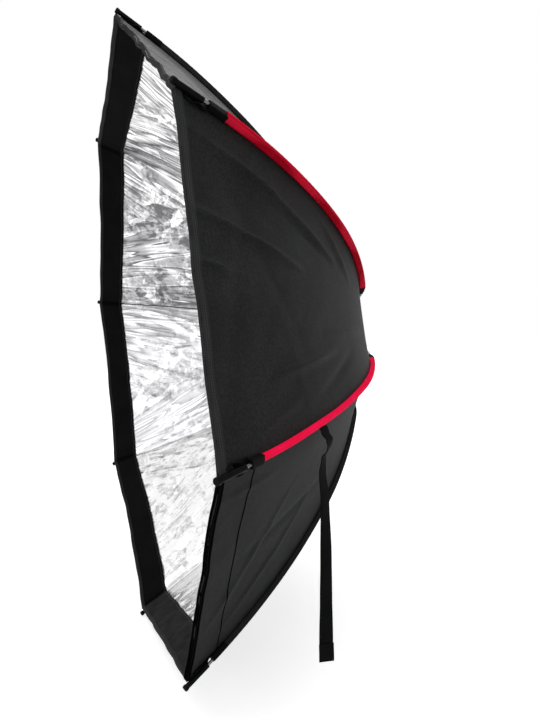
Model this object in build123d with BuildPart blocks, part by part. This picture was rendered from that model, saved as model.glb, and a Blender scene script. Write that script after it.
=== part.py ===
from build123d import *
import os
from math import cos, radians, sin

# Octabox: an eight-rib folding softbox, 1200 mm across its corners.
# Millimetres, +Z up. The optical axis is Y and the open front faces -Y.
# The origin is the centre of the rear seat face, which bears on the lamp.
# Ribs are counted counter-clockwise seen from the front, and rib 1 is the top one.

# Layout of the ribs
rib_count = 8
first_rib_angle = 75.7          # of rib 1, from +X towards +Z
pitch = 360 / rib_count
hinge_radius = 80               # hinge pins, from the optical axis
hinge_depth = 18                # plane of the hinge pins, in front of the seat face

# Lamp insert: a plate that seats on the lamp, and a bayonet collar with three lugs
bore_radius = 46
collar_radius = 49
collar_length = 9               # behind the seat face
lug_count = 3
lug_radius = 55
lug_length = 4
lug_arc = 24
insert_flange_radius = 72
insert_flange = 4
spigot_length = 12
insert_screw_count = 4
insert_screw_circle = 62
insert_screw_radius = 2
insert_screw_head = 4
insert_screw_length = 12
hex_socket = 1.4
hex_depth = 1
screw_clearance = 0.1
edge_break = 0.5
rooted = 1                      # how far a piece is sunk into the one it grows from

# Hub casting
hub_bore_radius = 52
hub_wall_radius = 70
hub_flange_radius = 90
arm_stop_gap = 0.3              # between an open arm and the flange behind it
heel_gap = 0.5
wall_height = 8                 # front of the wall, in front of the hinge plane
ear_round = 8
ear_thickness = 4
ear_gap = 9

# Front plate, which clamps the springs
plate_inner_radius = 53
plate_outer_radius = 69
plate_thickness = 1.5
cover_screw_circle = 61
cover_screw_radius = 1.5
cover_screw_head = 2.8
cover_screw_head_height = 1.8
cover_screw_length = 8

# Detent springs, one behind the heel of each arm
spring_width = 7
spring_seat_width = 8
spring_thickness = 0.8
spring_face = 72.6              # outer face of the leaf, from the optical axis
spring_foot = 57
spring_reach = 13
spring_bend = 1.5

# Hinge pins and arms
pin_radius = 2.5
pin_head_radius = 4
pin_head = 1.5
arm_bore_radius = pin_radius + 0.06
tongue_thickness = 8
tongue_height = 11
heel_radius = 7
arm_tube_radius = 6
arm_tube_start = 92
arm_mouth_radius = 7.2
arm_mouth_length = 8
arm_end = 165

# Rods: straight out of the arm, a formed bend, two long bows and a straight tip
rod_radius = 2.5
rod_start = 100
rod_straight_end = 168.2
rod_arcs = ((69.6, 26.9), (707, 17.15), (1303, 15.4))
rod_tip = 40.5                  # seated in the tip socket
rod_clearance = 0.1

# Tip sockets, with a keel that the corner webbing is sewn to
tip_length = 50
tip_radius = 4.2
tip_closed_end = 9
tip_nose_radius = 5
tip_nose_length = 6
tip_nose_round = 2
keel_length = 40
keel_height = 6.3
keel_thickness = 2.4

# Sleeves sewn over the rods and down on the cloth, with a stiff block at the front end
sleeve_start = 176
sleeve_width = 11.4
sleeve_top = 4                  # from the rod's centre line outwards
sleeve_edge = 2.6
sleeve_seat = 6.6               # from the rod's centre line in to the cloth
sleeve_bore = 3
bare_rod = 12                   # between the block and the tip socket
block_length = 31
block_width = 15
block_top = 5.2
block_edge = 2

# Canopy cloth along a rib: radius from the axis, distance in front of the hinge plane
cloth = 1.2
cloth_line = ((176, 8), (187.8, 8), (401.4, 92.5), (601, 443))
seam_gap = 0.3

# Wrap strap, hung from the sleeve of rib 7
strap_rib = 7
strap_radius = 481
strap_depth = 250
strap_drop = 7.1                # from the rod's centre line down to the strap's end
strap_width = 20
strap_thickness = 1.5
strap_length = 330
strap_lean = 4                  # from the vertical, towards the front

# Plane of a rib modelled on +X: local x is the radius, local y points to the front
rib_plane = Plane(origin=(0, -hinge_depth, 0), x_dir=(1, 0, 0), z_dir=(0, 0, -1))


def front_plane(depth):
    """Plane square to the optical axis, facing the front, this far in front of the seat face."""
    return Plane.XZ.offset(depth)


def face_plane(radius, angle, depth, outward):
    """Plane on a front (-1) or rear (+1) face, at a radius and an angle about the optical axis."""
    turn = radians(angle)
    return Plane(
        origin=(radius * cos(turn), -depth, radius * sin(turn)),
        z_dir=(0, outward, 0),
    )


def spread(count, start):
    """Angles of equal steps about the optical axis."""
    return [start + 360 / count * k for k in range(count)]


def around(shape, angles):
    """Copies of a shape modelled on +X, turned about the optical axis."""
    return [shape.rotate(Axis.Y, -angle) for angle in angles]


def save(shape, label):
    shape.label = label
    export_step(shape, f"parts/{label}.step")


def save_group(shapes, label):
    save(Compound(children=list(shapes)), label)


os.makedirs("parts", exist_ok=True)
rib_angles = spread(rib_count, first_rib_angle)
gap_angles = spread(rib_count, first_rib_angle + pitch / 2)
insert_screw_angles = spread(insert_screw_count, first_rib_angle + pitch / 2)
hub_front = hinge_depth + wall_height
plate_front = hub_front + spring_thickness + plate_thickness
flange_front = hinge_depth - arm_tube_radius - arm_stop_gap


# Lamp insert: seat plate, and the spigot that centres it in the hub

with BuildPart() as mount_insert:
    with BuildSketch(front_plane(0)):
        Circle(insert_flange_radius)
        Circle(collar_radius, mode=Mode.SUBTRACT)
    extrude(amount=insert_flange)
    with BuildSketch(front_plane(insert_flange)):
        Circle(hub_bore_radius - screw_clearance)
        Circle(collar_radius, mode=Mode.SUBTRACT)
    extrude(amount=spigot_length)
    round_edges = mount_insert.edges().filter_by(GeomType.CIRCLE)
    chamfer(round_edges.filter_by(lambda e: e.radius == insert_flange_radius), edge_break)
    for angle in insert_screw_angles:
        with Locations(face_plane(insert_screw_circle, angle, 0, 1)):
            CounterSinkHole(
                insert_screw_radius + screw_clearance,
                insert_screw_head + screw_clearance,
                depth=insert_flange,
            )
save(mount_insert.part, "mount_insert")


# Bayonet collar: a turned tube pressed through the plate, which the lamp's dome passes

with BuildPart() as bayonet_collar:
    with BuildSketch(front_plane(-collar_length)):
        Circle(collar_radius)
        Circle(bore_radius, mode=Mode.SUBTRACT)
    extrude(amount=collar_length + insert_flange + spigot_length)
save(bayonet_collar.part, "bayonet_collar")


# Bayonet lugs, brazed on the collar's rear end, clear of the plate

with BuildPart() as bayonet_lug:
    with BuildSketch(front_plane(-collar_length)):
        with BuildLine():
            outer = CenterArc((0, 0), lug_radius, -lug_arc / 2, lug_arc)
            inner = CenterArc((0, 0), collar_radius, -lug_arc / 2, lug_arc)
            Line(inner @ 0, outer @ 0)
            Line(inner @ 1, outer @ 1)
        make_face()
    extrude(amount=lug_length)
save_group(around(bayonet_lug.part, spread(lug_count, 90)), "bayonet_lugs")


# Hub casting: ring with a rear flange that stops the arms, and a pair of ears for each arm

with BuildPart() as ear_pair:
    foot = hinge_depth - insert_flange - rooted
    inner_edge = hub_wall_radius - ear_thickness
    with BuildSketch(rib_plane):
        with Locations((hinge_radius, 0)):
            Circle(ear_round)
        with Locations((inner_edge, 0)):
            Rectangle(hinge_radius - inner_edge, wall_height, align=(Align.MIN, Align.MIN))
            Rectangle(
                hinge_radius - inner_edge + ear_round,
                foot,
                align=(Align.MIN, Align.MAX),
            )
    extrude(amount=ear_gap / 2 + ear_thickness, both=True)
    with BuildSketch(rib_plane):
        with Locations((hub_wall_radius, flange_front - hinge_depth)):
            Rectangle(2 * ear_round + arm_tube_radius, 3 * wall_height, align=(Align.MIN, Align.MIN))
    extrude(amount=ear_gap / 2, both=True, mode=Mode.SUBTRACT)

with BuildPart() as hub_ring:
    with BuildSketch(front_plane(insert_flange)):
        Circle(hub_flange_radius)
        Circle(hub_bore_radius, mode=Mode.SUBTRACT)
    extrude(amount=flange_front - insert_flange)
    with BuildSketch(front_plane(insert_flange)):
        Circle(hub_wall_radius)
        Circle(hub_bore_radius, mode=Mode.SUBTRACT)
    extrude(amount=hub_front - insert_flange)
    round_edges = hub_ring.edges().filter_by(GeomType.CIRCLE)
    chamfer(round_edges.filter_by(lambda e: e.radius == hub_flange_radius), edge_break)
    for ears in around(ear_pair.part, rib_angles):
        add(ears)
    for angle in rib_angles:
        turn = radians(angle)
        hinge_point = (hinge_radius * cos(turn), -hinge_depth, hinge_radius * sin(turn))
        with Locations(Plane(origin=hinge_point, z_dir=(sin(turn), 0, -cos(turn)))):
            Cylinder(pin_radius, ear_gap + 2 * ear_thickness, mode=Mode.SUBTRACT)
            Cylinder(heel_radius + heel_gap, ear_gap, mode=Mode.SUBTRACT)
    for angle in insert_screw_angles:
        with Locations(face_plane(insert_screw_circle, angle, insert_flange, 1)):
            Hole(insert_screw_radius + screw_clearance, depth=insert_screw_length)
    for angle in gap_angles:
        with Locations(face_plane(cover_screw_circle, angle, hub_front, -1)):
            Hole(cover_screw_radius + screw_clearance, depth=cover_screw_length)
save(hub_ring.part, "hub_ring")


# Front plate over the ring, with a seat for each spring's foot

with BuildPart() as front_plate:
    with BuildSketch(front_plane(hub_front + spring_thickness)):
        Circle(plate_outer_radius)
        Circle(plate_inner_radius, mode=Mode.SUBTRACT)
    extrude(amount=plate_thickness)
    with BuildSketch(front_plane(hub_front)):
        Circle(plate_outer_radius)
        Circle(plate_inner_radius, mode=Mode.SUBTRACT)
        for angle in rib_angles:
            with Locations(Rot(0, 0, angle)):
                Rectangle(
                    2 * plate_outer_radius,
                    spring_seat_width,
                    align=(Align.MIN, Align.CENTER),
                    mode=Mode.SUBTRACT,
                )
    extrude(amount=spring_thickness)
    for angle in gap_angles:
        with Locations(face_plane(cover_screw_circle, angle, plate_front, -1)):
            Hole(cover_screw_radius + screw_clearance)
save(front_plate.part, "front_plate")


# Detent springs: bent strips that bear on the heels

with BuildPart() as detent_spring:
    with BuildSketch(rib_plane):
        with BuildLine():
            leaf_middle = spring_face - spring_thickness / 2
            strip_height = wall_height + spring_thickness / 2
            FilletPolyline(
                (spring_foot, strip_height),
                (leaf_middle, strip_height),
                (leaf_middle, strip_height - spring_reach),
                radius=spring_bend,
            )
        trace(line_width=spring_thickness)
    extrude(amount=spring_width / 2, both=True)
save_group(around(detent_spring.part, rib_angles), "detent_springs")


# Screws of the insert and of the front plate

with BuildPart() as insert_screw:
    with BuildSketch(Plane.XY):
        with BuildLine():
            Polyline(
                (0, 0),
                (insert_screw_head, 0),
                (insert_screw_radius, insert_screw_radius - insert_screw_head),
                (insert_screw_radius, edge_break - insert_screw_length),
                (insert_screw_radius - edge_break, -insert_screw_length),
                (0, -insert_screw_length),
                close=True,
            )
        make_face()
    revolve(axis=Axis.Y)
    with BuildSketch(Plane.XZ):
        RegularPolygon(hex_socket, 6)
    extrude(amount=hex_depth, mode=Mode.SUBTRACT)
save_group(
    [
        insert_screw.part.moved(
            Location(face_plane(insert_screw_circle, angle, 0, 1).origin)
        )
        for angle in insert_screw_angles
    ],
    "insert_screws",
)

with BuildPart() as cover_screw:
    with BuildSketch(Plane.XY):
        with BuildLine():
            head_edge = (cover_screw_head, -cover_screw_head_height / 2)
            Polyline(
                (0, -cover_screw_head_height),
                (cover_screw_head / 2, -cover_screw_head_height),
                head_edge,
                (cover_screw_head, 0),
                (cover_screw_radius, 0),
                (cover_screw_radius, cover_screw_length),
                (0, cover_screw_length),
                close=True,
            )
        make_face()
    revolve(axis=Axis.Y)
save_group(
    [
        cover_screw.part.moved(
            Location(face_plane(cover_screw_circle, angle, plate_front, -1).origin)
        )
        for angle in gap_angles
    ],
    "cover_screws",
)


# Hinge pins: a head at one end, a spread rivet end at the other

with BuildPart() as hinge_pin:
    ear_span = ear_gap + 2 * ear_thickness
    with BuildSketch(Plane.XZ.offset(hinge_depth)):
        with BuildLine():
            Polyline(
                (hinge_radius, -ear_span / 2 - pin_head),
                (hinge_radius + pin_head_radius, -ear_span / 2 - pin_head),
                (hinge_radius + pin_head_radius, -ear_span / 2),
                (hinge_radius + pin_radius, -ear_span / 2),
                (hinge_radius + pin_radius, ear_span / 2),
                (hinge_radius + pin_radius + pin_head / 2, ear_span / 2),
                (hinge_radius + pin_radius, ear_span / 2 + pin_head / 2),
                (hinge_radius, ear_span / 2 + pin_head / 2),
                close=True,
            )
        make_face()
    revolve(axis=Axis((hinge_radius, -hinge_depth, 0), (0, 0, 1)))
save_group(around(hinge_pin.part, rib_angles), "hinge_pins")


# Arms: a tongue that turns on the pin, and a tube that the rod is pushed into

with BuildPart() as arm:
    with BuildSketch(rib_plane):
        with Locations((hinge_radius, 0)):
            Circle(heel_radius)
        with BuildLine():
            Polyline(
                (hinge_radius, -tongue_height / 2),
                (arm_tube_start + arm_tube_radius, -tongue_height / 2),
                (arm_tube_start + arm_tube_radius, tongue_height / 2),
                (hinge_radius, tongue_height / 2),
                close=True,
            )
        make_face()
    extrude(amount=tongue_thickness / 2, both=True)
    with BuildSketch(Plane(origin=(arm_tube_start, -hinge_depth, 0), z_dir=(1, 0, 0))):
        Circle(arm_tube_radius)
    extrude(amount=arm_end - arm_tube_start)
    with BuildSketch(Plane(origin=(arm_end, -hinge_depth, 0), z_dir=(-1, 0, 0))):
        Circle(arm_mouth_radius)
    extrude(amount=arm_mouth_length)
    chamfer(arm.faces().filter_by(Axis.X).sort_by(Axis.X)[-1].edges(), edge_break)
    with Locations(Plane(origin=(arm_end, -hinge_depth, 0), z_dir=(1, 0, 0))):
        Hole(rod_radius + rod_clearance, depth=arm_end - rod_start)
    with Locations(Plane(origin=(hinge_radius, -hinge_depth, 0), z_dir=(0, 0, 1))):
        Cylinder(arm_bore_radius, 2 * tongue_thickness, mode=Mode.SUBTRACT)


# Rods: the line that each rod, its sleeve and its tip follow

with BuildPart() as rod:
    with BuildLine(rib_plane) as rod_line:
        first_run = Line((rod_start + rod_clearance, 0), (rod_straight_end, 0))
        run = first_run
        for radius, angle in rod_arcs:
            run = JernArc(run @ 1, run % 1, radius, angle)
        last_run = Line(run @ 1, (run @ 1) + (run % 1) * rod_tip)
    with BuildSketch(Plane(origin=first_run @ 0, z_dir=first_run % 0)):
        Circle(rod_radius)
    sweep()

tip_start = last_run @ 0
tip_direction = last_run % 0


# Tip sockets: a blind tube with a rounded nose, and a keel towards the inside

tip_plane = Plane(origin=tip_start, x_dir=(0, 0, 1), z_dir=tip_direction)
inward = tip_plane.y_dir if tip_plane.y_dir.X < 0 else -tip_plane.y_dir

with BuildPart() as tip:
    with BuildSketch(tip_plane):
        Circle(tip_radius)
    extrude(amount=tip_length)
    with BuildSketch(tip_plane.offset(tip_length - tip_nose_length)):
        Circle(tip_nose_radius)
    extrude(amount=tip_nose_length)
    fillet(tip.faces().sort_by(Axis(tip_start, tip_direction))[-1].edges(), tip_nose_round)
    keel_plane = Plane(origin=tip_start, x_dir=tip_direction, z_dir=(0, 0, 1))
    keel_side = 1 if keel_plane.y_dir.dot(inward) > 0 else -1
    with BuildSketch(keel_plane):
        with BuildLine():
            Polyline(
                (0, 0),
                (keel_length, 0),
                (keel_length - keel_height / 2, keel_side * keel_height),
                (keel_height / 4, keel_side * keel_height),
                close=True,
            )
        make_face()
    extrude(amount=keel_thickness / 2, both=True)
    with Locations(Plane(origin=tip_start, z_dir=-tip_direction)):
        Hole(rod_radius + rod_clearance, depth=tip_length - tip_closed_end)


# Sleeves: webbing folded over the rod from the hub end to the block near the tip

def station(from_socket):
    """Share of the rod line's last bow at this distance behind the tip socket."""
    return 1 - from_socket / bow_length


bow_radius, bow_angle = rod_arcs[-1]
bow_length = bow_radius * radians(bow_angle)
bend_radius, bend_angle = rod_arcs[0]
sleeve_lead = (sleeve_start - rod_straight_end) / (bend_radius * radians(bend_angle))
block_front = station(bare_rod)
block_back = station(bare_rod + block_length)

with BuildPart() as sleeve:
    with BuildLine(rib_plane):
        start = rod_line.edges()[1]
        lead_angle = bend_angle * (1 - sleeve_lead)
        run = JernArc(start @ sleeve_lead, start % sleeve_lead, bend_radius, lead_angle)
        sleeve_mouth = run @ 0
        sleeve_heading = run % 0
        middle_radius, middle_angle = rod_arcs[1]
        run = JernArc(run @ 1, run % 1, middle_radius, middle_angle)
        run = JernArc(run @ 1, run % 1, bow_radius, bow_angle * block_back)
    with BuildSketch(Plane(origin=sleeve_mouth, x_dir=(0, 0, 1), z_dir=sleeve_heading)):
        with Locations((0, (sleeve_seat - sleeve_top) / 2)):
            RectangleRounded(sleeve_width, sleeve_top + sleeve_seat, sleeve_edge)
        Circle(sleeve_bore, mode=Mode.SUBTRACT)
    sweep()
    block_start = run @ 1
    block_heading = run % 1
    with BuildLine(rib_plane):
        block_run = JernArc(block_start, block_heading, bow_radius, bow_angle * (block_front - block_back))
    with BuildSketch(Plane(origin=block_start, x_dir=(0, 0, 1), z_dir=block_heading)):
        with Locations((0, (sleeve_seat - block_top) / 2)):
            RectangleRounded(block_width, block_top + sleeve_seat, block_edge)
        Circle(sleeve_bore, mode=Mode.SUBTRACT)
    sweep(path=block_run)


# Canopy: each panel is sewn from two halves that meet at the panel's middle line.
# Between its ribs a panel is straight, so its middle section is the cloth line drawn in by this factor.

draw_in = cos(radians(pitch / 2))
middle_turn = radians(pitch / 2)
middle_plane = Plane(
    origin=(0, -hinge_depth, 0),
    x_dir=(cos(middle_turn), 0, sin(middle_turn)),
    z_dir=(sin(middle_turn), 0, -cos(middle_turn)),
)

with BuildPart() as canopy_left:
    with BuildSketch(middle_plane.offset(seam_gap / 2)):
        with BuildLine():
            Bezier(*[(radius * draw_in, depth) for radius, depth in cloth_line])
        trace(line_width=cloth)
    extrude(amount=cloth_line[-1][0] * sin(middle_turn))
    split(bisect_by=Plane.XY.offset(seam_gap / 2), keep=Keep.TOP)


# Wrap strap: flat webbing that hangs from the sleeve

with BuildPart() as strap:
    turn = radians(first_rib_angle + pitch * (strap_rib - 1))
    hang_point = Vector(
        strap_radius * cos(turn), -hinge_depth - strap_depth, strap_radius * sin(turn) - strap_drop
    )
    down = Vector(0, -sin(radians(strap_lean)), -cos(radians(strap_lean)))
    with BuildSketch(Plane(origin=hang_point, x_dir=(0, 1, 0), z_dir=down)):
        Rectangle(strap_width, strap_thickness)
    extrude(amount=strap_length)
save(strap.part, "strap")


# One copy of each rib's pieces for each rib

for number, angle in enumerate(rib_angles, start=1):
    save(arm.part.rotate(Axis.Y, -angle), f"arm_{number}")
    save(rod.part.rotate(Axis.Y, -angle), f"rod_{number}")
    save(tip.part.rotate(Axis.Y, -angle), f"tip_{number}")
    save(sleeve.part.rotate(Axis.Y, -angle), f"sleeve_{number}")
    save(canopy_left.part.rotate(Axis.Y, -angle), f"canopy_{number}_left")
    save(canopy_left.part.mirror(Plane.XY).rotate(Axis.Y, -angle), f"canopy_{number}_right")
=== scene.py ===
from math import cos, pi, radians, sin

import bpy
import numpy as np
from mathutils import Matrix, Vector


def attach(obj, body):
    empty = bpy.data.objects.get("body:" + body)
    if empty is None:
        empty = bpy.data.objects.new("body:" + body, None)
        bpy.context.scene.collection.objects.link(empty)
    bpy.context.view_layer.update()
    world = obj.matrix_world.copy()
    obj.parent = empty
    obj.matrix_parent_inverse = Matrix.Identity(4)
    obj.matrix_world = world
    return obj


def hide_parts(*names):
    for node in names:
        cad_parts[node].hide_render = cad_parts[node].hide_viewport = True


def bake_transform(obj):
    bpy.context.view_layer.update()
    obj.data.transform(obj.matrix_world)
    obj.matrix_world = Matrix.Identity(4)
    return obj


# Octabox: cloth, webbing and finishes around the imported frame. Metres, front opening towards -Y.

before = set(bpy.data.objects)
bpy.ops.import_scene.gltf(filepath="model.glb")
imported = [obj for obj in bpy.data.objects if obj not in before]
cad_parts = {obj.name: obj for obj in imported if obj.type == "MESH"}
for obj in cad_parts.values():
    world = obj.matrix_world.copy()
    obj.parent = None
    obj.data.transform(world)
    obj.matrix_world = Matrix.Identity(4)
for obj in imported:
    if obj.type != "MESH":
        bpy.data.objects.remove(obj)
bpy.ops.object.select_all(action="DESELECT")
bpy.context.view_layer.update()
scene = bpy.context.scene

# layout, the same as the frame's
layout = {
    "firstRib": 75.7,           # degrees from +X towards +Z
    "pitch": 45.0,
    "hingeRadius": 0.080,
    "hingeDepth": 0.018,
    "clothLine": ((0.176, 0.008), (0.1878, 0.008), (0.4014, 0.0925), (0.601, 0.443)),
    "rodStart": 0.1682,
    "rodBows": ((0.0696, 26.9), (0.707, 17.15), (1.303, 15.4)),
    "spareTip": 0.05,           # the line runs on past the rod's end
}
halfTurn = radians(layout["pitch"] / 2)


# camera

cameraSet = {
    "place": (1.231, -0.6317, -0.005),
    "turn": (88.459, 4.067, 69.233),    # degrees
    "lens": 30.235,             # millimetres, as the sensor's width
    "sensor": 36,
    "farthest": 50,
}


def makeCamera(p):
    bpy.ops.object.camera_add(location=p["place"], rotation=[radians(a) for a in p["turn"]])
    cam = bpy.context.object
    cam.name = "camera"
    cam.data.lens = p["lens"]
    cam.data.sensor_width = p["sensor"]
    cam.data.clip_end = p["farthest"]
    scene.camera = cam


makeCamera(cameraSet)
scene.view_settings.view_transform = "Standard"
print("camera placed")


# floor, world and lamps

studio = {
    "floorHeight": -0.600,
    "floorSize": 60.0,
    "floorColour": (0.80, 0.80, 0.80, 1),
    "floorRough": 0.9,
    "floorSpecular": 0.1,
    "floorLift": (0.64, 1.0),   # white the camera sees added under the object, and far away
    "liftReach": (0.9, 3.2),    # metres from the object between the two
    "worldLight": 0.40,
    "lamps": (
        # name, place, looks at, width, height, watts
        ("lampTop", (0.9, -0.6, 2.6), (0, -0.2, 0), 2.6, 2.6, 58),
        ("lampFront", (0.9, -3.0, 0.1), (0, -0.2, 0), 2.4, 2.4, 30),
        ("lampSide", (3.2, 0.6, 0.9), (0, -0.2, 0), 2.0, 2.4, 22),
    ),
}


def newMaterial(name):
    mat = bpy.data.materials.new(name)
    mat.use_nodes = True
    nodes = mat.node_tree.nodes
    return mat, nodes, mat.node_tree.links, nodes["Principled BSDF"]


def mathNode(nodes, links, operation, first, second=None, third=None):
    node = nodes.new("ShaderNodeMath")
    node.operation = operation
    for slot, value in zip(node.inputs, (first, second, third)):
        if value is None:
            continue
        if isinstance(value, (int, float)):
            slot.default_value = value
        else:
            links.new(value, slot)
    return node.outputs[0]


def spreadNode(nodes, links, value, fromLow, fromHigh, toLow=0.0, toHigh=1.0):
    # eased from one range of values to another
    node = nodes.new("ShaderNodeMapRange")
    node.interpolation_type = "SMOOTHSTEP"
    for slot, number in zip(node.inputs[1:5], (fromLow, fromHigh, toLow, toHigh)):
        slot.default_value = number
    links.new(value, node.inputs["Value"])
    return node.outputs["Result"]


def makeStudio(p):
    world = bpy.data.worlds.new("studioWorld")
    scene.world = world
    world.use_nodes = True
    nodes, links = world.node_tree.nodes, world.node_tree.links
    nodes.clear()
    out = nodes.new("ShaderNodeOutputWorld")
    soft = nodes.new("ShaderNodeBackground")
    soft.inputs["Strength"].default_value = p["worldLight"]
    white = nodes.new("ShaderNodeBackground")
    white.inputs["Strength"].default_value = 1.0
    for node in (soft, white):
        node.inputs["Color"].default_value = (1, 1, 1, 1)
    rays = nodes.new("ShaderNodeLightPath").outputs
    seen = mathNode(nodes, links, "MAXIMUM", rays["Is Camera Ray"], rays["Is Glossy Ray"])
    seen = mathNode(nodes, links, "MAXIMUM", seen, rays["Is Transmission Ray"])
    mix = nodes.new("ShaderNodeMixShader")
    links.new(seen, mix.inputs["Fac"])
    links.new(soft.outputs[0], mix.inputs[1])
    links.new(white.outputs[0], mix.inputs[2])
    links.new(mix.outputs[0], out.inputs["Surface"])

    bpy.ops.mesh.primitive_plane_add(size=p["floorSize"], location=(0, 0, p["floorHeight"]))
    floor = bpy.context.object
    floor.name = "floor"
    mat, nodes, links, bsdf = newMaterial("paleFloor")
    bsdf.inputs["Base Color"].default_value = p["floorColour"]
    bsdf.inputs["Roughness"].default_value = p["floorRough"]
    bsdf.inputs["Specular IOR Level"].default_value = p["floorSpecular"]
    away = nodes.new("ShaderNodeVectorMath")
    away.operation = "LENGTH"
    links.new(nodes.new("ShaderNodeTexCoord").outputs["Object"], away.inputs[0])
    grow = spreadNode(nodes, links, away.outputs["Value"], *p["liftReach"], *p["floorLift"])
    rays = nodes.new("ShaderNodeLightPath").outputs
    seen = mathNode(nodes, links, "MAXIMUM", rays["Is Camera Ray"], rays["Is Glossy Ray"])
    lift = nodes.new("ShaderNodeEmission")
    both = nodes.new("ShaderNodeAddShader")
    links.new(mathNode(nodes, links, "MULTIPLY", grow, seen), lift.inputs["Strength"])
    links.new(bsdf.outputs[0], both.inputs[0])
    links.new(lift.outputs[0], both.inputs[1])
    links.new(both.outputs[0], nodes["Material Output"].inputs["Surface"])
    floor.data.materials.append(mat)

    for name, place, target, width, height, watts in p["lamps"]:
        bpy.ops.object.light_add(type="AREA", location=place)
        lamp = bpy.context.object
        lamp.name = name
        lamp.data.shape = "RECTANGLE"
        lamp.data.size, lamp.data.size_y = width, height
        lamp.data.energy = watts
        lamp.rotation_euler = (Vector(target) - Vector(place)).to_track_quat("-Z", "Y").to_euler()


makeStudio(studio)
print("studio ready")


# materials

def noiseNode(nodes, links, source, scale, detail=3.0, rough=0.5):
    noise = nodes.new("ShaderNodeTexNoise")
    noise.inputs["Scale"].default_value = scale
    noise.inputs["Detail"].default_value = detail
    noise.inputs["Roughness"].default_value = rough
    links.new(source, noise.inputs["Vector"])
    return noise.outputs["Fac"]


def rampNode(nodes, links, fac, stops):
    ramp = nodes.new("ShaderNodeValToRGB")
    while len(ramp.color_ramp.elements) < len(stops):
        ramp.color_ramp.elements.new(0.5)
    for element, (place, colour) in zip(ramp.color_ramp.elements, stops):
        element.position = place
        element.color = (*colour, 1)
    links.new(fac, ramp.inputs["Fac"])
    return ramp.outputs["Color"]


def bumpNode(nodes, links, height, distance, strength, under=None):
    bump = nodes.new("ShaderNodeBump")
    bump.inputs["Distance"].default_value = distance
    bump.inputs["Strength"].default_value = strength
    links.new(height, bump.inputs["Height"])
    if under is not None:
        links.new(under, bump.inputs["Normal"])
    return bump.outputs["Normal"]


def blendColour(nodes, links, share, under, over):
    # a plain colour laid over another by a share
    mix = nodes.new("ShaderNodeMix")
    mix.data_type = "RGBA"
    links.new(share, mix.inputs["Factor"])
    links.new(under, mix.inputs["A"])
    mix.inputs["B"].default_value = (*over, 1)
    return mix.outputs["Result"]


def scaledColour(nodes, links, colour, amount):
    scale = nodes.new("ShaderNodeVectorMath")
    scale.operation = "SCALE"
    links.new(colour, scale.inputs[0])
    links.new(amount, scale.inputs["Scale"])
    return scale.outputs[0]


def objectPlace(nodes):
    return nodes.new("ShaderNodeTexCoord").outputs["Object"]


def layAxes(nodes, links):
    uv = nodes.new("ShaderNodeUVMap")
    uv.uv_map = "lay"           # metres: across the piece, and along it
    split = nodes.new("ShaderNodeSeparateXYZ")
    links.new(uv.outputs["UV"], split.inputs[0])
    return split.outputs["X"], split.outputs["Y"]


def weaveHeight(nodes, links, x, y, thread):
    # threads over and under, one wave each way
    a = mathNode(nodes, links, "SINE", mathNode(nodes, links, "MULTIPLY", x, pi / thread))
    b = mathNode(nodes, links, "SINE", mathNode(nodes, links, "MULTIPLY", y, pi / thread))
    return mathNode(nodes, links, "MULTIPLY", a, b)


stitch = {"length": 0.0035, "halfWidth": 0.0007, "gap": 0.12, "height": 1.5}
clothFeel = {                   # a bump is its height in metres and its strength
    "weave": (0.0002, 0.5), "soft": (0.0012, 0.25), "softScale": 60,
    "wrinkleAcross": 130, "wrinkleAlong": 9, "wrinkleStrength": 0.8,
    "speckScale": 330, "sheenRough": 0.3,
}


def stitchMask(nodes, links, across, along, row):
    # 1 on the thread of a stitched row that lies at this distance from the front edge
    off = mathNode(nodes, links, "ABSOLUTE", mathNode(nodes, links, "SUBTRACT", along, row))
    near = mathNode(nodes, links, "LESS_THAN", off, stitch["halfWidth"])
    step = mathNode(nodes, links, "PINGPONG", across, stitch["length"] / 2)
    dash = mathNode(nodes, links, "GREATER_THAN", step, stitch["length"] * stitch["gap"])
    return mathNode(nodes, links, "MULTIPLY", near, dash)


def attributeNode(nodes, name):
    node = nodes.new("ShaderNodeAttribute")
    node.attribute_name = name
    return node.outputs["Fac"]


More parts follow.
